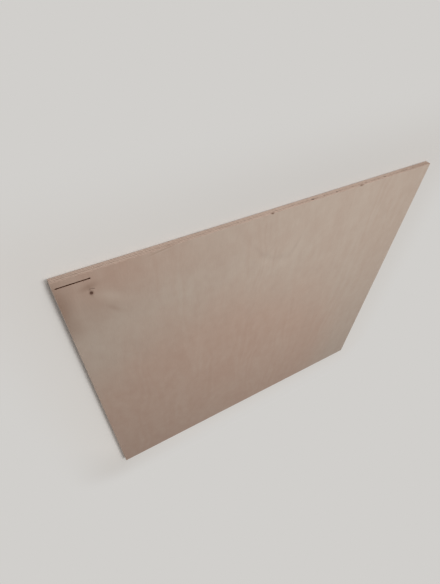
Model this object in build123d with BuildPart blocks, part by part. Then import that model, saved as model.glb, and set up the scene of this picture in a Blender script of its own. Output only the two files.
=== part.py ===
from build123d import *
import os

# A rectangular sheet of plywood, lying flat on its back face.
# +X runs along the upper edge, +Y points at the upper edge, and +Z out of the show face.
# The origin is the middle of the back face. All sizes are in millimetres.

sheet_width = 625.0
sheet_height = 560.0
sheet_thickness = 9.0
arris_easing = 0.3

# A short blind saw slit in the show face, level with the upper edge, in the upper left corner.
slit_from_top = 10.5
slit_from_left = 3.5
slit_length = 40.5
slit_width = 1.8
slit_depth = 3.0
# Where the saw went in, the slit ends in a slightly wider round pit.
slit_pit_diameter = 2.4

# A pin knot below the slit's end, sunk a little below the sanded face.
knot_from_left = 40.0
knot_from_top = 33.6
knot_diameter = 4.5
knot_depth = 0.5

# Short gaps in one inner veneer, which the saw opened along the upper edge.
# Each is (distance of its middle from the right edge, length).
core_gaps = [(251.5, 6.0), (205.0, 5.0), (104.5, 6.0), (13.0, 4.0)]
core_gap_from_face = 3.2
core_gap_height = 1.1
core_gap_depth = 2.5

# Chips that the saw broke out of the upper front arris.
# Each is (distance of its middle from the right edge, length, reach into both faces).
edge_chips = [(324.0, 5.0, 0.9), (156.5, 8.0, 1.0)]

left_edge = -sheet_width / 2
right_edge = sheet_width / 2
top_edge = sheet_height / 2
show_face = Plane.XY.offset(sheet_thickness)
upper_edge_face = Plane.XZ.offset(-top_edge)

slit_y = top_edge - slit_from_top
slit_start_x = left_edge + slit_from_left
slit_end_x = slit_start_x + slit_length
slit_middle = (slit_start_x + slit_length / 2, slit_y)
slit_pit = (slit_end_x - slit_pit_diameter / 2, slit_y)

# The knot's hollow is the cap that a ball of this radius presses into the face.
knot_radius = knot_diameter / 2
knot_ball_radius = (knot_radius**2 + knot_depth**2) / (2 * knot_depth)
knot_centre = (
    left_edge + knot_from_left,
    top_edge - knot_from_top,
    sheet_thickness - knot_depth + knot_ball_radius,
)

with BuildPart() as plywood_sheet:
    with BuildSketch(Plane.XY):
        Rectangle(sheet_width, sheet_height)
    extrude(amount=sheet_thickness)
    chamfer(plywood_sheet.edges(), length=arris_easing)

    with BuildSketch(show_face):
        with Locations(slit_middle):
            SlotOverall(slit_length, slit_width)
        with Locations(slit_pit):
            Circle(slit_pit_diameter / 2)
    extrude(amount=-slit_depth, mode=Mode.SUBTRACT)

    with Locations(knot_centre):
        Sphere(knot_ball_radius, mode=Mode.SUBTRACT)

    with BuildSketch(upper_edge_face):
        for gap_from_right, gap_length in core_gaps:
            with Locations((right_edge - gap_from_right, sheet_thickness - core_gap_from_face)):
                SlotOverall(gap_length, core_gap_height)
    extrude(amount=core_gap_depth, mode=Mode.SUBTRACT)

    for chip_from_right, chip_length, chip_reach in edge_chips:
        with Locations((right_edge - chip_from_right, top_edge, sheet_thickness)):
            Cylinder(chip_reach, chip_length, rotation=(0, 90, 0), mode=Mode.SUBTRACT)

plywood_sheet.part.label = "plywood_sheet"

os.makedirs("parts", exist_ok=True)
export_step(plywood_sheet.part, "parts/plywood_sheet.step")
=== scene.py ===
import math

import bmesh
import bpy
import numpy as np
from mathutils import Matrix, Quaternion, Vector


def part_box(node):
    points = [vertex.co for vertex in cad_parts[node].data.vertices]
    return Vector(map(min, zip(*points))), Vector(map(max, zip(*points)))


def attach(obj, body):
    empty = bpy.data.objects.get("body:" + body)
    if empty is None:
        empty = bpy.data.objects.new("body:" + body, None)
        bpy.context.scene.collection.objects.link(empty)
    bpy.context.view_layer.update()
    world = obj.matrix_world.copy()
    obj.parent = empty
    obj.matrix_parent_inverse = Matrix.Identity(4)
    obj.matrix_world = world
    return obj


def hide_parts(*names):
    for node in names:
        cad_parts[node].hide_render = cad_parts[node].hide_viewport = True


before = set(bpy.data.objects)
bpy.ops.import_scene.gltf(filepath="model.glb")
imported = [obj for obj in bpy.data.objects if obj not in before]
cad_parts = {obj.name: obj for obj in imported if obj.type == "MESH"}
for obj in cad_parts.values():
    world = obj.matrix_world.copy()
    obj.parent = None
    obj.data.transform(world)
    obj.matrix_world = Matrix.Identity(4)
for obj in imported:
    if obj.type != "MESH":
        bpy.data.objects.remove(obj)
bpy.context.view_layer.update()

# A sheet of birch-faced plywood, lying on a pale floor with its show face up.
# Lengths are in millimetres, and become metres on their way into a mesh, a lamp or the camera.
# +X runs along the upper edge, +Y points at the upper edge, and +Z out of the show face.
MM = 0.001

lowest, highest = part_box("plywood_sheet")
left = lowest.x / MM
right = highest.x / MM
bottom = lowest.y / MM
top = highest.y / MM
thick = highest.z / MM

# The veneers, counted down from the show face. The grain of the first runs up the sheet.
ply_count = 7
ply = thick / ply_count

# The arrises are eased with sandpaper, to a quarter round. The grain stands in relief on every side.
arris = 0.4
fine_relief = 0.03

# A blind saw slit, level with the upper edge, with a round pit at its right end.
slit_y = top - 10.5
slit_start = left + 3.5
slit_end = left + 44.0
slit_half_width = 0.9
slit_depth = 3.0
pit_radius = 1.2
pit_x = slit_end - pit_radius

# A pin knot, and the small crease of bark above it.
knot_x = left + 40.0
knot_y = top - 33.6
knot_radius = 2.25
knot_depth = 0.5
crease_x = knot_x + 1.0
crease_y = knot_y + 1.5
crease_radius = 5.0
crease_depth = 0.18

# Gaps that the saw opened in the third veneer, along the upper edge: (middle, length, how dark their painted
# shade is).
# Their walls are the slopes between the edge and the hollow.
core_gaps = [
    (right - 251.5, 6.0, 1.0),
    (right - 205.0, 5.0, 0.5),
    (right - 104.5, 6.0, 0.1),
    (right - 13.0, 4.0, 0.1),
]
gap_from_face = 3.2
gap_height = 1.1
gap_depth = 2.5
gap_wall = 0.08

# Chips out of the upper front arris: (middle, length, reach into both faces, how dark they are).
edge_chips = [(right - 324.0, 5.0, 0.9, 0.95), (right - 156.5, 8.0, 1.0, 0.85)]
deepest_chip = 1.1

# The material slots of the board.
face_slot, across_slot, side_slot, back_slot = range(4)


def ease(share):
    """A smooth step: 0 up to 0, 1 from 1 on, and 3s^2 - 2s^3 between."""
    share = np.clip(share, 0.0, 1.0)
    return share * share * (3.0 - 2.0 * share)


def wobble(places, pitch, seed):
    """Seeded noise along a line: a random height from -1 to 1 at every pitch, with a smooth step between."""
    heights = np.random.default_rng(seed).uniform(-1.0, 1.0, int(4 * right / pitch) + 3)
    at = (places + 2 * right) / pitch
    before = np.floor(at).astype(int)
    share = ease(at - before)
    return heights[before] * (1.0 - share) + heights[before + 1] * share


def graded_lines(end, step, zones):
    """Grid lines from -end to end: about one every step, and in each zone (start, end, spacing) one every
    spacing instead. All are rounded to a twentieth of a millimetre, so that no two lie closer."""
    rounding = 0.05
    lines = np.linspace(-end, end, round(2 * end / step) + 1)[1:-1]
    for start, stop, _ in zones:
        lines = lines[(lines < start) | (lines > stop)]
    fine = [np.linspace(start, stop, round((stop - start) / spacing) + 1) for start, stop, spacing in zones]
    lines = np.concatenate([[-end, end], lines, *fine])
    return np.unique(np.round(lines / rounding)) * rounding


def slit_drop(x, y):
    """How far the slit lies below the show face: its full depth where a point is nearer to the slit's middle
    line, or to the pit's middle, than the wall is, with a smooth step over the wall. The mouth wavers a
    little, on each side by itself, and its lips are rounded down."""
    waver = 0.07
    lip = 0.35
    lip_drop = 0.08
    wall = 0.22
    middle = np.clip(x, slit_start + slit_half_width, slit_end - slit_half_width)
    uneven = np.where(y > slit_y, wobble(x, 2.3, 11), wobble(x, 2.9, 12))
    from_slit = np.hypot(x - middle, y - slit_y) - slit_half_width - waver * uneven
    from_pit = np.hypot(x - pit_x, y - slit_y) - pit_radius
    outside = np.minimum(from_slit, from_pit)
    rounded = lip_drop * ease(1.0 - outside / lip)
    return rounded + (slit_depth - lip_drop) * ease(-outside / wall)


def knot_drop(x, y):
    """How far the knot lies below the show face: a shallow bowl, its depth times 1 - (distance/radius)^2,
    with a finer pit in its heart, and above it a groove along an arc round a middle of its own. The pit and
    the groove's section are bell curves, and the groove fades out at both ends."""
    heart_depth = 0.25
    heart_radius = 0.7
    groove_half_width = 0.45
    first_turn, last_turn, fade = 35.0, 150.0, 25.0
    away = np.hypot(x - knot_x, y - knot_y)
    bowl = knot_depth * np.clip(1.0 - (away / knot_radius) ** 2, 0.0, 1.0)
    heart = heart_depth * np.exp(-((away / heart_radius) ** 2))
    from_crease = np.abs(np.hypot(x - crease_x, y - crease_y) - crease_radius)
    turn = np.degrees(np.arctan2(y - crease_y, x - crease_x))
    along = ease((turn - first_turn) / fade) * ease((last_turn - turn) / fade)
    crease = crease_depth * np.exp(-((from_crease / groove_half_width) ** 2)) * along
    return np.maximum(bowl + heart * (away < knot_radius), crease)


def chip_reach(x, upper):
    """How far the front arris is broken away at x. Across the grain the saw leaves it finely ragged: a least
    reach, and up to twice that by noise that counts only where it is above 0. It fades near the corners. On
    the upper edge a chip reaches further, a little unevenly: its depth times the square root of 1 - u^2,
    where u runs from -1 to 1 along the chip."""
    seed = 21 if upper else 24
    least = 0.30
    corner_fade = 5.0
    broad, close = wobble(x, 8.5, seed), wobble(x, 4.7, seed + 1)
    ragged = least + least * np.clip(broad + 0.5 * close, 0.0, 1.0)
    reach = ragged * ease((right - np.abs(x)) / corner_fade)
    if upper:
        uneven = 0.92 + 0.16 * wobble(x, 1.1, 23)
        for middle, length, depth, _ in edge_chips:
            along = np.clip(1.0 - (2.0 * (x - middle) / length) ** 2, 0.0, 1.0)
            reach = np.maximum(reach, depth * uneven * np.sqrt(along))
    return reach


def bitten(inset, depth, reach):
    """Points near a front arris, as (inset from the edge's plane, depth below the face), moved onto a hollow
    bite of radius reach round the arris. A point's share of the way round the arris becomes its share of the
    quarter circle. A point that already lies deeper stays, and so do all where there is no reach."""
    no_reach = 1e-6
    reach = np.maximum(reach, no_reach)
    share = np.clip((reach - inset + depth) / (2.0 * reach), 0.0, 1.0) * math.pi / 2
    moved_inset = reach * np.cos(share)
    moved_depth = reach * np.sin(share)
    moves = (inset < reach) & (depth < reach) & (moved_inset + moved_depth > inset + depth)
    return np.where(moves, moved_inset, inset), np.where(moves, moved_depth, depth)


def rim_section():
    """The rim's section from the show face to the back face, as (how far out, how deep): a quarter round, the
    sawn veneers, with rows close to the chips, the glue lines and the gaps, and a quarter round."""
    glue_half = 0.06
    chip_depths = [0.6, 0.8, 1.0]
    turns = np.radians([22.5, 45.0, 67.5, 90.0])
    depths = chip_depths.copy()
    for line in range(1, ply_count):
        depths += [line * ply - glue_half, line * ply, line * ply + glue_half]
    for side in (-1, 1):
        depths += [gap_from_face + side * gap_height / 2, gap_from_face + side * (gap_height / 2 - gap_wall)]
    front = [(arris * math.sin(turn), arris * (1.0 - math.cos(turn))) for turn in turns]
    sawn = [(arris, depth) for depth in sorted(depths)]
    back = [(out, thick - depth) for out, depth in front[-2::-1]] + [(0.0, thick)]
    rows = np.array(front + sawn + back)
    return rows[:, :1], rows[:, 1:]


def edge_recess(along, depth, across_grain):
    """How far the sawn edge lies inside its plane. End grain is torn out deeper than long grain, each veneer
    by its own noise, and the glue lines stand between them. Nothing is lost at the arrises."""
    near = 0.01
    glue_loss = 0.035
    fade = 0.2
    recess = np.zeros(np.broadcast(along, depth).shape)
    for number in range(ply_count):
        torn = (number % 2 == 0) == across_grain
        mean, spread = (0.09, 0.05) if torn else (0.03, 0.02)
        broad, close = wobble(along, 9.0, 31 + number), wobble(along, 4.6, 41 + number)
        loss = mean + spread * broad + 0.4 * spread * close
        inside = (depth > number * ply + near) & (depth < (number + 1) * ply - near)
        recess = np.where(inside, loss, recess)
    on_glue = np.abs(depth / ply - np.round(depth / ply)) * ply < near
    recess = np.where(on_glue, glue_loss, recess)
    return recess * ease((depth - arris) / fade) * ease((thick - arris - depth) / fade)


def core_gap_shape(x, depth):
    """The gaps in the third veneer, for points of the upper edge: (how far in they go, where their rows lie).
    With u from -1 to 1 along a gap, it goes in by the gaps' depth times the square root of 1 - u^4, and it is
    as high as their height times the square root of 1 - u^2, frayed a little. Between the gaps the rows lie
    close together."""
    shut = 0.15
    near = 0.005
    reach = np.zeros(x.shape)
    height = np.zeros(x.shape)
    for middle, length, _ in core_gaps:
        along = np.clip(2.0 * (x - middle) / length, -1.0, 1.0)
        reach = np.maximum(reach, gap_depth * np.sqrt(1.0 - along**4))
        height = np.maximum(height, np.sqrt(1.0 - along**2))
    frayed = 0.88 + 0.12 * wobble(x, 0.8, 51)
    height = shut + (1.0 - shut) * height * frayed
    from_middle = depth - gap_from_face
    inside = np.abs(from_middle) < gap_height / 2 - gap_wall / 2
    on_rows = np.abs(from_middle) < gap_height / 2 + near
    return reach * inside, np.where(on_rows, gap_from_face + from_middle * height, depth)


def zone_over(middle, length, spacing):
    """A zone of fine grid lines over one mark, and half a millimetre past each of its ends."""
    past = 0.5
    return middle - length / 2 - past, middle + length / 2 + past, spacing


def face_grid():
    """The places of the show face's grid, inside the eased arrises. Its lines crowd at the slit, the knot,
    the gaps and the chips."""
    across = [(slit_start - 0.4, slit_start + 1.6, 0.2), (slit_start + 1.6, slit_end - 3.2, 1.0)]
    across += [(slit_end - 3.2, slit_end + 0.4, 0.2), (knot_x - 5.4, knot_x + 5.4, 0.45)]
    across += [zone_over(middle, length, length / 13) for middle, length, _ in core_gaps]
    across += [zone_over(middle, length, length / 20) for middle, length, _, _ in edge_chips]
    up = [(slit_y - 1.6, slit_y - 0.5, 0.1), (slit_y - 0.5, slit_y + 0.5, 0.5)]
    up += [(slit_y + 0.5, slit_y + 1.6, 0.1), (knot_y - 2.8, knot_y + 8.4, 0.45)]
    up += [(top - deepest_chip, top - arris, 0.2), (bottom + arris, bottom + 0.8, 0.2)]
    step_across = 4.2
    step_up = 8.0
    columns = graded_lines(right - arris, step_across, across)
    rows = graded_lines(top - arris, step_up, up)
    return np.meshgrid(columns, rows)


def show_face(grid_x, grid_y):
    """The show face over its grid: its plane, less the slit and the knot, and bitten along its upper and
    lower arris."""
    drop = np.maximum(slit_drop(grid_x, grid_y), knot_drop(grid_x, grid_y))
    upper_inset, drop = bitten(top - grid_y, drop, chip_reach(grid_x, True))
    lower_inset, drop = bitten(grid_y - bottom, drop, chip_reach(grid_x, False))
    face_y = grid_y + (lower_inset - (grid_y - bottom)) - (upper_inset - (top - grid_y))
    return np.stack([grid_x, face_y, thick - drop], axis=-1)


def boundary_walk(index):
    """The boundary of a grid, walked anticlockwise from its lower left corner, as (which point, the direction
    that it looks out in, which side it is on, from 0 for the lower to 3 for the left). Each corner is passed
    three times more, in directions between those of its two sides."""
    between = np.array([22.5, 45.0, 67.5])
    point, turn, side = [], [], []
    for number, line in enumerate([index[0], index[:, -1], index[-1, ::-1], index[::-1, 0]]):
        outwards = 90.0 * number - 90.0
        point += [line, np.repeat(line[-1], len(between))]
        turn += [np.full(len(line), outwards), outwards + between]
        side += [np.full(len(line) + len(between), number)]
    return np.concatenate(point), np.radians(np.concatenate(turn)), np.concatenate(side)


def sawn_rim(base_x, base_y, turn, side):
    """The rim in rows from the show face down: the section, carried along the boundary and turned outwards at
    each of its points, less what the saw tore from the veneers, the gaps and the bites of the front arris."""
    upper = side == 2
    across_grain = upper | (side == 0)
    out, deep = rim_section()
    recess = np.where(across_grain, edge_recess(base_x, deep, True), edge_recess(base_y, deep, False))
    gap_recess, gap_deep = core_gap_shape(base_x, deep)
    recess = np.maximum(recess, gap_recess * upper)
    deep = np.where(upper, gap_deep, deep)
    reach = np.where(upper, chip_reach(base_x, True), chip_reach(base_x, False))
    inset, deep = bitten(arris - out + recess, deep, np.where(across_grain, reach, 0.0))
    rim_x = base_x + (arris - inset) * np.cos(turn)
    rim_y = base_y + (arris - inset) * np.sin(turn)
    return np.stack([rim_x, rim_y, thick - deep], axis=-1)


def board_surface():
    """The whole sheet as one closed surface in three parts: the show face over its grid, the rim round it,
    and the back face, which is the rim's last row drawn in to its middle by scaling. Gives its points, its
    faces and the material slot of each face."""
    grid_x, grid_y = face_grid()
    face = show_face(grid_x, grid_y)
    index = np.arange(grid_x.size).reshape(grid_x.shape)
    point, turn, side = boundary_walk(index)
    base_x, base_y = grid_x.ravel()[point], grid_y.ravel()[point]
    rim = sawn_rim(base_x, base_y, turn, side)
    scales = np.array([0.97, 0.7, 0.35])[:, None]
    back = np.stack([base_x * scales, base_y * scales, np.zeros((len(scales), len(point)))], axis=-1)
    rings = np.concatenate([rim, back])
    points = np.concatenate([face.reshape(-1, 3), rings.reshape(-1, 3), [[0.0, 0.0, 0.0]]])

    # The first ring hangs from the grid's own boundary. At a corner that is one point, and the ring fans out.
    face_quads = np.stack([index[:-1, :-1], index[:-1, 1:], index[1:, 1:], index[1:, :-1]], axis=-1)
    placed = index.size + np.arange(rings[..., 0].size).reshape(rings.shape[:2])
    placed = np.concatenate([point[None], placed])
    following = np.roll(placed, -1, axis=1)
    quads = np.stack([placed[:-1], placed[1:], following[1:], following[:-1]], axis=-1)
    fanned = quads[..., 0] == quads[..., 3]
    pole = np.stack([placed[-1], np.full(len(point), len(points) - 1), following[-1]], axis=-1)
    faces = face_quads.reshape(-1, 4).tolist() + quads[~fanned].tolist()
    faces += quads[fanned][:, :3].tolist() + pole.tolist()

    slots = np.broadcast_to(np.where(side % 2 == 0, across_slot, side_slot), quads.shape[:2]).copy()
    slots[len(rim):] = back_slot
    face_slots = np.full(face_quads.size // 4, face_slot)
    slots = np.concatenate([face_slots, slots[~fanned], slots[fanned], np.full(len(pole), back_slot)])
    return points, faces, slots.astype(np.int32)


def board_mesh():
    """The board's surface as one mesh, with the points that coincide merged. It is smooth all over, except
    where it turns sharply."""
    points, faces, slots = board_surface()
    weld_distance = 0.001
    sharp_degrees = 35.0
    mesh = bpy.data.meshes.new("plywood_board")
    mesh.from_pydata(points * MM, [], faces)
    mesh.polygons.foreach_set("material_index", slots)
    welded = bmesh.new()
    welded.from_mesh(mesh)
    bmesh.ops.remove_doubles(welded, verts=welded.verts, dist=weld_distance * MM)
    welded.to_mesh(mesh)
    welded.free()
    mesh.shade_smooth()
    mesh.set_sharp_from_angle(angle=math.radians(sharp_degrees))
    mesh.update()
    return mesh


def colour(red, green, blue):
    """A colour given as a screen shows it, from 0 to 255, as the linear values that a shader takes."""
    shares = np.array([red, green, blue]) / 255.0
    linear = np.where(shares <= 0.04045, shares / 12.92, ((shares + 0.055) / 1.055) ** 2.4)
    return (*linear.tolist(), 1.0)


class Signal:
    """A number on its way through a node tree. Its operators add the Math nodes that work it out."""

    def __init__(self, tree, socket):
        self.tree = tree
        self.socket = socket

    def math(self, operation, *others):
        return self.tree.math(operation, self, *others)

    def __add__(self, other):
        return self.math("ADD", other)

    def __sub__(self, other):
        return self.math("SUBTRACT", other)

    def __mul__(self, other):
        return self.math("MULTIPLY", other)

    def __truediv__(self, other):
        return self.math("DIVIDE", other)

    def __rsub__(self, other):
        return self.tree.math("SUBTRACT", other, self)

    def __rtruediv__(self, other):
        return self.tree.math("DIVIDE", other, self)

    def __neg__(self):
        return self.math("MULTIPLY", -1.0)

    def __abs__(self):
        return self.math("ABSOLUTE")

    __radd__ = __add__
    __rmul__ = __mul__

    def squared(self):
        return self.math("MULTIPLY", self)

    def bell(self):
        """A soft hump: 1 at 0, and 0.37 at 1 and at -1."""
        return (-self.squared()).math("EXPONENT")

    def clamped(self):
        return self.math("MAXIMUM", 0.0).math("MINIMUM", 1.0)

    def between(self, start, end):
        """0 at start and 1 at end, with a smooth step between. end may be the lower of the two."""
        if end < start:
            return 1.0 - self.between(end, start)
        settings = {"interpolation_type": "SMOOTHSTEP", "clamp": True}
        return self.tree.value("ShaderNodeMapRange", settings, {0: self, 1: start, 2: end, 3: 0.0, 4: 1.0})


class NodeTree:
    """The nodes of a material or of the world, added one by one."""

    def __init__(self, owner):
        owner.use_nodes = True
        self.tree = owner.node_tree
        self.tree.nodes.clear()

    def node(self, kind, settings=None, sockets=None):
        """Adds a node of one type, with its settings, and then the values or links of its sockets."""
        made = self.tree.nodes.new(kind)
        for name, setting in (settings or {}).items():
            setattr(made, name, setting)
        for name, given in (sockets or {}).items():
            given = given.socket if isinstance(given, Signal) else given
            if isinstance(given, bpy.types.NodeSocket):
                self.tree.links.new(given, made.inputs[name])
            else:
                made.inputs[name].default_value = given
        return made

    def value(self, kind, settings, sockets):
        """The number that a node gives."""
        return Signal(self, self.node(kind, settings, sockets).outputs[0])

    def math(self, operation, *values):
        return self.value("ShaderNodeMath", {"operation": operation}, dict(enumerate(values)))

    def mixed(self, share, first, second):
        """The first shader where share is 0 and the second where it is 1."""
        made = self.node("ShaderNodeMixShader", {}, {0: share, 1: first.outputs[0], 2: second.outputs[0]})
        return made.outputs[0]

    def camera_ray(self):
        """1 on rays that see a surface, straight or by way of gloss or glass, and 0 on rays that light it."""
        path = self.node("ShaderNodeLightPath").outputs
        kinds = ("Is Camera Ray", "Is Glossy Ray", "Is Transmission Ray")
        straight, reflected, through = (Signal(self, path[kind]) for kind in kinds)
        return straight.math("MAXIMUM", reflected).math("MAXIMUM", through)


class Finish(NodeTree):
    """A material. x, y and z are the place on the sheet in millimetres."""

    def __init__(self, name):
        self.material = bpy.data.materials.new(name)
        super().__init__(self.material)
        place = self.node("ShaderNodeTexCoord").outputs["Object"]
        apart = self.node("ShaderNodeSeparateXYZ", {}, {0: place})
        self.x, self.y, self.z = (Signal(self, socket) / MM for socket in apart.outputs)

    def noise(self, x, y, seed, detail=2.0, roughness=0.5):
        """Noise from -1 to 1, about one swell for each unit of x and y. Each seed has a field of its own."""
        place = self.node("ShaderNodeCombineXYZ", {}, {0: x, 1: y}).outputs[0]
        sockets = {"Vector": place, "W": seed, "Scale": 1.0, "Detail": detail, "Roughness": roughness}
        found = self.value("ShaderNodeTexNoise", {"noise_dimensions": "4D"}, sockets)
        return found * 2.0 - 1.0

    def distance(self, x, y):
        """How far a place lies from one point, across the face."""
        return ((self.x - x).squared() + (self.y - y).squared()).math("SQRT")

    def patch(self, x, y, long, short, turn):
        """A soft patch that is 1 in its middle. long and short are its half sizes, and turn is where its long
        side points, in degrees from +X."""
        cos, sin = math.cos(math.radians(turn)), math.sin(math.radians(turn))
        from_x, from_y = self.x - x, self.y - y
        return self.spot((from_x * cos + from_y * sin) / long, (from_y * cos - from_x * sin) / short)

    def spot(self, along, beside):
        """A soft spot that is 1 where both are 0, and 0.37 where one of them is 1."""
        return (-(along.squared() + beside.squared())).math("EXPONENT")

    def blend(self, share, first, second):
        """The first colour where share is 0 and the second where it is 1. The node's sockets 6 and 7 and its
        output 2 are its colours."""
        made = self.node("ShaderNodeMix", {"data_type": "RGBA"}, {0: share, 6: first, 7: second})
        return made.outputs[2]

    def scaled(self, shade, factor):
        made = self.node("ShaderNodeVectorMath", {"operation": "SCALE"}, {0: shade, "Scale": factor})
        return made.outputs[0]

    def wood(self, shade, roughness, height):
        """Ends the material in a bare wood surface. height is its fine relief, about -1 to 1."""
        relief = {"Strength": 1.0, "Distance": fine_relief * MM, "Height": height}
        bump = self.node("ShaderNodeBump", {}, relief)
        sockets = {"Base Color": shade, "Roughness": roughness, "Normal": bump.outputs[0]}
        shader = self.node("ShaderNodeBsdfPrincipled", {}, {**sockets, "Specular IOR Level": 0.35})
        self.node("ShaderNodeOutputMaterial", {}, {0: shader.outputs[0]})
        return self.material


birch_pale = colour(170, 155, 142)
birch_warm = colour(168, 143, 128)
birch_brown = colour(134, 109, 93)
birch_light = colour(184, 168, 154)
knot_brown = colour(68, 39, 24)
# The next colour is painted shade, the dark inside the slit.
slit_shade_brown = colour(90, 47, 25)
glue_brown = colour(98, 68, 50)
end_grain = colour(178, 155, 141)
long_grain = colour(201, 181, 167)


# Rotary cutting lays the rings open as long bands up the sheet. Below the middle of the upper edge they
# nest in one arch, which opens upwards and is steeper on its right: a darker line over a paler band.
arch_x = 33.0
arch_foot = 184.0
arch_half_left = 55.0
arch_half_right = 18.0


def arch_figure(face, x, y):
    """What the arch adds to the tone. Its curve rises with the square of the distance from its axis, and
    wavers. The wood is paler inside, dark on the curve and paler again below, and all of this fades out to
    the sides."""
    from_axis = x - arch_x
    on_right, on_left = from_axis.math("MAXIMUM", 0.0), from_axis.math("MINIMUM", 0.0)
    beside = on_right / arch_half_right + on_left / arch_half_left
    waver = face.noise(x / 24.0, y / 80.0, 18.0, 2.0, 0.6)
    above = y - arch_foot - beside.squared() * 26.0 + waver * 14.0
    line = above.between(-7.0, 0.0) * above.between(9.0, 1.0)
    band = above.between(-28.0, -15.0) * above.between(-4.0, -12.0)
    inside = above.between(3.0, 14.0) * above.between(60.0, 25.0)
    fade = beside.squared().between(2.4, 0.8)
    return (band * 0.028 - line * 0.023 + inside * 0.014) * fade


def birch_figure(face, grain_x, seed):
    """Bare birch, whose grain runs up the sheet: its tone, how far it goes to the warm side, and four of the
    noises behind them, the broad drift, the clouds, the fibres and the hairs. The rings show as soft bands,
    a sine of noise drawn out along the grain, and the pores as short flecks. grain_x is where the fibres and
    the hairs would lie if they were straight."""
    x, y = face.x, face.y
    drift = face.noise(x / 95.0, y / 210.0, seed + 1.0, 2.0)
    sway = face.noise(x / 60.0, y / 150.0, seed + 2.0, 2.0, 0.55)
    ring = face.noise(x / 34.0 + sway * 0.8, y / 330.0, seed + 3.0, 0.0)
    swell = face.noise(x / 80.0, y / 140.0, seed + 7.0, 1.0).between(-0.5, 0.6)
    bands = (ring * 2.6 * math.tau).math("SINE") * swell
    clouds = face.noise(x / 38.0, y / 66.0, seed + 8.0, 2.0, 0.55)
    mottle = face.noise(x / 17.0, y / 22.0, seed + 9.0, 3.0, 0.6)
    fibres = face.noise(grain_x / 1.5, y / 26.0, seed + 4.0, 3.0, 0.6)
    hairs = face.noise(grain_x / 0.45, y / 14.0, seed + 5.0, 2.0, 0.6)
    pores = face.noise(x / 0.8, y / 5.0, seed + 6.0, 1.0).between(0.52, 0.66)
    tone = 1.0 - drift * 0.012 - clouds * 0.045 - bands * 0.014 - mottle * 0.06
    tone = tone + fibres * 0.055 + hairs * 0.10 - pores * 0.13
    warmer = drift * 0.22 + clouds * 0.25 + bands * 0.12 + mottle * 0.24
    return tone, warmer, drift, clouds, fibres, hairs


def knot_marks(face, shade, drift):
    """The brown wood round the knot and down the left side, a paler lens and a seam below the knot, the
    crease and the stem above it, and the knot itself with its ragged bark."""
    x, y = face.x, face.y
    brown_side = face.patch(left, top - 44.0, 36.0, 15.0, 90.0) * (0.78 + drift * 0.3)
    brown_side = brown_side + face.patch(left, top - 88.0, 24.0, 20.0, 90.0) * 0.34
    halo = face.patch(knot_x - 1.0, knot_y + 10.5, 12.0, 5.5, 12.0) * 0.54
    dull = face.patch(knot_x - 2.0, knot_y - 32.0, 42.0, 40.0, 0.0) * 0.16
    shade = face.blend(brown_side.math("MAXIMUM", halo).math("MAXIMUM", dull), shade, birch_brown)
    lens = face.patch(knot_x + 22.0, knot_y - 16.0, 19.0, 8.0, -36.0) * 0.45
    shade = face.blend(lens, shade, birch_light)
    seam = face.patch(knot_x + 21.0, knot_y - 39.0, 13.0, 3.5, -50.0) * 0.26
    shade = face.blend(seam, shade, birch_brown)

    bark = face.noise(x / 1.1, y / 1.1, 17.0, 2.0, 0.6)
    from_crease = abs(face.distance(crease_x, crease_y) - crease_radius + bark * 0.5)
    crease = from_crease.between(1.1, 0.2) * (y - crease_y).between(2.2, 3.6)
    shade = face.blend(crease * (x - crease_x).between(-5.0, 2.0) * 0.5, shade, knot_brown)
    stem = face.patch(knot_x - 0.2, knot_y + 1.0, 7.5, 1.5, 94.0) * 0.32
    shade = face.blend(stem, shade, knot_brown)
    away = ((x - knot_x).squared() + ((y - knot_y + 0.5) * 0.82).squared()).math("SQRT") + bark * 0.9
    shade = face.blend(away.between(4.6, 2.0) * 0.5, shade, birch_brown)
    return face.blend(away.between(2.6, 1.4) * (0.92 + bark * 0.25), shade, knot_brown)


def saw_marks(face, shade, fibres, hairs):
    """What the saw left on the face: a split drawn in painted shade, with a lifted sliver beside it drawn as
    a painted highlight, the chips' torn wood, which runs in along the fibres, and the slit, brown along its
    lips and painted dark inside as its shade."""
    x, y, z = face.x, face.y, face.z
    # Painted shade and highlight: the split is a dark painted line, and the lifted sliver beside it a pale
    # painted line.
    painted_split_shade = face.patch(left + 136.0, top - 2.8, 17.0, 0.8, 8.5) * 0.45
    shade = face.blend(painted_split_shade, shade, birch_brown)
    painted_sliver_highlight = face.patch(left + 137.0, top - 4.8, 15.0, 0.9, 8.5) * 0.3
    shade = face.blend(painted_sliver_highlight, shade, birch_light)
    for middle, length, _, dark in edge_chips:
        torn = (top - y) / 1.6 + fibres * 0.7 + hairs * 0.5
        broken = face.spot((x - middle) / (0.42 * length), torn) * 1.15 * dark
        shade = face.blend(broken.math("MINIMUM", 1.0), shade, glue_brown)

    beside_slit = abs(y - slit_y).between(1.7, 0.8) * x.between(slit_end + 1.0, slit_end - 0.5)
    shade = face.blend(beside_slit * 0.35, shade, birch_brown)
    # Painted shade: the slit's walls and floor are painted dark brown, as the shade inside it.
    inside = z.between(thick - 0.15, thick - 0.6)
    near_slit = abs(y - slit_y).between(2.5, 2.0)
    return face.blend(inside * near_slit, shade, slit_shade_brown)


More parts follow.
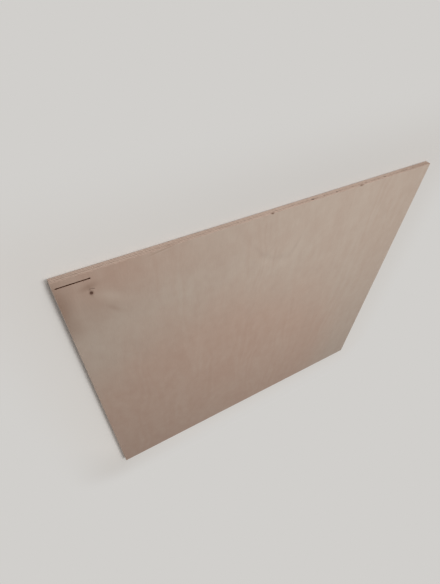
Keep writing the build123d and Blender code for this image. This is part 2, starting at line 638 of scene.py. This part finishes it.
def sanded_birch():
    """The show face: the birch figure, warmer over its lower part, where the warmth is partly the wood's own
    and partly a painted warm light bounced from below, and warmer at the slit's corner, with one arch and the
    marks of the knot and the saw. The fibres part round the knot."""
    face = Finish("sanded_birch")
    x, y = face.x, face.y
    grain_x = x - (x - knot_x) * face.patch(knot_x, knot_y, 7.0, 15.0, 0.0) * 0.7
    tone, warmer, drift, clouds, fibres, hairs = birch_figure(face, grain_x, 0.0)
    tone = tone + arch_figure(face, x, y)
    # The warmth over the lower part is partly the wood's own tone and partly painted light, a warm light
    # bounced from below.
    from_warm = face.distance(-100.0, -190.0) + clouds * 60.0
    corner = face.patch(left + 60.0, top - 10.0, 120.0, 50.0, 0.0)
    warmth = 0.14 + from_warm.between(400.0, 230.0).math("MAXIMUM", corner) * 0.72 + warmer
    shade = face.scaled(face.blend(warmth.clamped(), birch_pale, birch_warm), tone)
    shade = saw_marks(face, knot_marks(face, shade, drift), fibres, hairs)
    return face.wood(shade, 0.64 + fibres * 0.05 + drift * 0.03, fibres * 0.5 + hairs * 0.5)


def back_birch():
    """The back face, from another part of the log: the same figure with other noise, and without marks."""
    back = Finish("back_birch")
    tone, warmer, drift, clouds, fibres, hairs = birch_figure(back, back.x, 40.0)
    warmth = 0.42 + warmer * 0.8
    shade = back.scaled(back.blend(warmth.clamped(), birch_pale, birch_warm), tone - clouds * 0.01)
    return back.wood(shade, 0.66 + fibres * 0.05 + drift * 0.03, fibres * 0.5 + hairs * 0.5)


def upper_only(edge):
    """1 on the upper edge and 0 on the lower one."""
    return edge.y.between(0.0, 1.0)


def veneer_marks_and_shade(edge, shade, number):
    """Marks along the edges that cut across the face grain. Their third veneer is darker in places. The upper
    edge is also rubbed brown towards both ends, with painted shade added to the brown at its right end, and
    has painted shade in places along its front arris."""
    along = edge.x
    third = number.math("COMPARE", 2.0, 0.5)
    broken = edge.noise(along / 9.0, 0.0, 16.0, 2.0).between(-0.25, 0.25)
    clear = along.between(-20.0, 5.0) * 0.3 + 0.3
    shade = edge.blend(third * broken * clear, shade, glue_brown)
    # Painted shade: towards the right end the rubbed brown is also painted shade, and the brown along the
    # front arris is painted shade.
    rubbed_and_shaded = along.between(215.0, 290.0) * 0.27 + along.between(-225.0, -300.0) * 0.10
    front_arris_shade = along.between(20.0, 45.0) * (0.14 - ((along - 148.0) / 14.0).bell() * 0.14)
    front_arris_shade = front_arris_shade + ((along + 171.0) / 17.0).bell() * 0.26
    front = ((thick - edge.z - 1.4) / 1.5).bell()
    return edge.blend(rubbed_and_shaded.math("MAXIMUM", front_arris_shade * front) * upper_only(edge), shade, birch_brown)


def gaps_and_chips(edge, shade, speckle, streak):
    """Saw damage on the upper edge: the hollow of each gap, painted dark as its shade, with painted shade
    round it too, and the torn wood of each chip. Speckle and streak fray their outlines."""
    along = edge.x
    from_face = thick - edge.z
    upper = upper_only(edge)
    inside = (top - edge.y).between(0.2, 0.5) * from_face.between(2.0, 2.4)
    # Painted shade: the walls of each gap's hollow, and a spot round it, are painted dark brown as the shade
    # in and round the gap.
    for middle, length, dark in core_gaps:
        beside = (along - middle) / length
        hollow = inside * beside.squared().between(0.5, 0.3) * (0.2 + 0.7 * dark)
        over = (gap_from_face - 0.5 - from_face) / 1.1
        shade_round_gap = edge.spot((beside - 0.05) / 0.26 + streak * 0.9, over + speckle * 0.9) * 1.3 * dark**2
        shade = edge.blend(hollow.math("MAXIMUM", shade_round_gap).math("MINIMUM", 1.0) * upper, shade, knot_brown)
    for middle, length, _, dark in edge_chips:
        torn = from_face / 1.7 + speckle * 0.7
        broken = edge.spot((along - middle) / (0.42 * length), torn) * 1.15 * dark
        shade = edge.blend(broken.math("MINIMUM", 1.0) * upper, shade, glue_brown)
    return shade


def sawn_edge(name, across_grain):
    """A sawn edge: the veneers, by turns in end grain and long grain, with a thin glue line between them and
    the saw's slanting marks. The upper and lower edges cut across the face grain, and have marks of their
    own. The upper one is also painted darker on the left and paler in its middle, as painted shade and light,
    and has the gaps and the chips."""
    edge = Finish(name)
    z = edge.z
    along = edge.x if across_grain else edge.y
    depth = (thick - z) / ply
    number = depth.math("FLOOR")
    odd = number.math("MODULO", 2.0).between(0.4, 0.6)
    ends = 1.0 - odd if across_grain else odd

    speckle = edge.noise(along / 0.5, z / 0.35, 11.0, 3.0, 0.7)
    streak = edge.noise(along / 22.0, z / 0.3, 12.0, 2.0)
    patches = edge.noise(along / 16.0, number * 3.7, 13.0, 2.0)
    marks = edge.noise((along + z * 0.7) / 2.6, 0.0, 14.0, 2.0)
    scorch = edge.noise(along / 70.0, z / 20.0, 15.0, 1.0).between(0.0, 0.8)
    tone = 1.0 + ends * speckle * 0.20 + (1.0 - ends) * streak * 0.10 + patches * 0.05 + marks * 0.012
    tone = tone - scorch * 0.05
    if across_grain:
        # Painted shade and light: the upper edge is painted darker on the left and paler in its middle.
        dull = ((along + 110.0) / 42.0).bell() * 0.035 - ((along - 5.0) / 28.0).bell() * 0.028
        tone = tone - dull * upper_only(edge)
    shade = edge.scaled(edge.blend(ends, long_grain, end_grain), tone)
    if across_grain:
        shade = veneer_marks_and_shade(edge, shade, number)
        shade = gaps_and_chips(edge, shade, speckle, streak)

    from_glue = abs(depth - depth.math("ROUND")) * ply
    inner = z.between(0.4, 0.6) * z.between(thick - 0.4, thick - 0.6)
    shade = edge.blend(from_glue.between(0.10, 0.03) * inner * 0.75, shade, glue_brown)
    relief = ends * speckle * 0.5 + (1.0 - ends) * streak * 0.3 + marks * 0.1
    return edge.wood(shade, 0.74 + speckle * 0.06, relief)


# The finishes are in the order of their slots.
finishes = [
    sanded_birch(),
    sawn_edge("upper_and_lower_edge", across_grain=True),
    sawn_edge("side_edges", across_grain=False),
    back_birch(),
]
board = bpy.data.objects.new("plywood_board", board_mesh())
for finish in finishes:
    board.data.materials.append(finish)
bpy.context.scene.collection.objects.link(board)
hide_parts("plywood_sheet")
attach(board, "root")


sky_strength = 0.29
sky_shade = (1.0, 0.96, 0.92, 1.0)

# Square soft boxes that face the origin: (name, place, size, watts, colour).
lamps = [
    ("key_lamp", (231.0, 276.0, 878.0), 500.0, 5.15, (1.0, 1.0, 1.0)),
    ("fill_lamp", (130.0, 1300.0, 550.0), 700.0, 6.8, (1.0, 0.98, 0.97)),
]

# The floor is lit as far as floor_lit from the sheet. From floor_even on it shows one even tone, which the
# backdrop shows too. Its colour is divided by the light on it, or by floor_dimmest where that is more.
floor_tone = colour(209, 207, 204)
floor_lit = 12.0
floor_even = 130.0
floor_radius = 6000.0
floor_dimmest = 0.66


def light_level(finish):
    """How strongly the sky and the lamps light the open floor at a place. A small lamp of P watts that faces
    the origin gives P / pi^2 * z * (d . n) / r^4 in metres, where d runs from the place to the lamp, r is the
    length of d, z its rise and n the direction from the origin to the lamp."""
    level = 0.0
    for _, place, _, watts, _ in lamps:
        away = Vector(place) * MM
        towards = away.normalized()
        d_x, d_y = away.x - finish.x * MM, away.y - finish.y * MM
        facing = d_x * towards.x + d_y * towards.y + away.z * towards.z
        distance_squared = d_x.squared() + d_y.squared() + away.z**2
        level = level + facing * (watts / math.pi**2 * away.z) / distance_squared.squared()
    return level + sky_strength


def pale_floor():
    """Near the sheet a plain matt floor, whose colour is divided by the light on it, so that its tone is even
    and only the sheet's own shadow shows. Further out the same tone, whatever the light."""
    floor = Finish("pale_floor")
    beside_x = (abs(floor.x) - right).math("MAXIMUM", 0.0)
    beside_y = (abs(floor.y) - top).math("MAXIMUM", 0.0)
    away = (beside_x.squared() + beside_y.squared()).math("SQRT")
    far = away.between(floor_lit, floor_even) * floor.camera_ray()
    evened = floor.scaled(floor_tone[:3], 1.0 / light_level(floor).math("MAXIMUM", floor_dimmest))
    matt = {"Base Color": evened, "Roughness": 1.0, "Specular IOR Level": 0.0}
    lit = floor.node("ShaderNodeBsdfPrincipled", {}, matt)
    even = floor.node("ShaderNodeEmission", {}, {"Color": floor_tone, "Strength": 1.0})
    floor.node("ShaderNodeOutputMaterial", {}, {0: floor.mixed(far, lit, even)})
    return floor.material


def floor_mesh():
    """A flat disc just under the sheet: points on one circle, and a single face."""
    count = 96
    below = -0.02
    turns = np.linspace(0.0, math.tau, count, endpoint=False)
    x, y = np.cos(turns) * floor_radius, np.sin(turns) * floor_radius
    disc = bpy.data.meshes.new("floor")
    disc.from_pydata(np.stack([x, y, np.full(count, below)], axis=-1) * MM, [], [list(range(count))])
    return disc


floor = bpy.data.objects.new("floor", floor_mesh())
floor.data.materials.append(pale_floor())
bpy.context.scene.collection.objects.link(floor)

world = bpy.data.worlds.new("studio")
bpy.context.scene.world = world
studio = NodeTree(world)
sky = studio.node("ShaderNodeBackground", {}, {"Color": sky_shade, "Strength": sky_strength})
backdrop = studio.node("ShaderNodeBackground", {}, {"Color": floor_tone, "Strength": 1.0})
studio.node("ShaderNodeOutputWorld", {}, {0: studio.mixed(studio.camera_ray(), sky, backdrop)})


def soft_lamp(name, place, size, watts, shade):
    """A square soft box that faces the origin and that the camera doesn't see."""
    lamp = bpy.data.lights.new(name, "AREA")
    lamp.shape = "SQUARE"
    lamp.size = size * MM
    lamp.energy = watts
    lamp.color = shade
    held = bpy.data.objects.new(name, lamp)
    held.location = Vector(place) * MM
    held.rotation_mode = "QUATERNION"
    held.rotation_quaternion = (-Vector(place)).to_track_quat("-Z", "Y")
    held.visible_camera = False
    bpy.context.scene.collection.objects.link(held)


for lamp in lamps:
    soft_lamp(*lamp)

# The camera stands beyond the upper edge, near the slit's corner, and leans over the sheet. camera_right is
# the direction that runs to the right in its picture.
camera_place = Vector((-292.8, 579.3, 345.2))
camera_aim = Vector((-91.4, 158.4, 9.0))
camera_right = Vector((0.8745, 0.03192, 0.48397))
frame_long_side = 584
focal_pixels = 369.8

looking = (camera_aim - camera_place).normalized()
upright = looking.to_track_quat("-Z", "Y")
level_right = upright @ Vector((1.0, 0.0, 0.0))
level_up = upright @ Vector((0.0, 1.0, 0.0))
roll = math.atan2(camera_right.dot(level_up), camera_right.dot(level_right))
lens = bpy.data.cameras.new("camera")
lens.sensor_width = 36.0
lens.lens = focal_pixels * lens.sensor_width / frame_long_side
lens.clip_start = 10.0 * MM
lens.clip_end = 100000.0 * MM
camera = bpy.data.objects.new("camera", lens)
camera.location = camera_place * MM
camera.rotation_mode = "QUATERNION"
camera.rotation_quaternion = upright @ Quaternion((0.0, 0.0, 1.0), roll)
bpy.context.scene.collection.objects.link(camera)
bpy.context.scene.camera = camera

bpy.context.scene.view_settings.view_transform = "Standard"
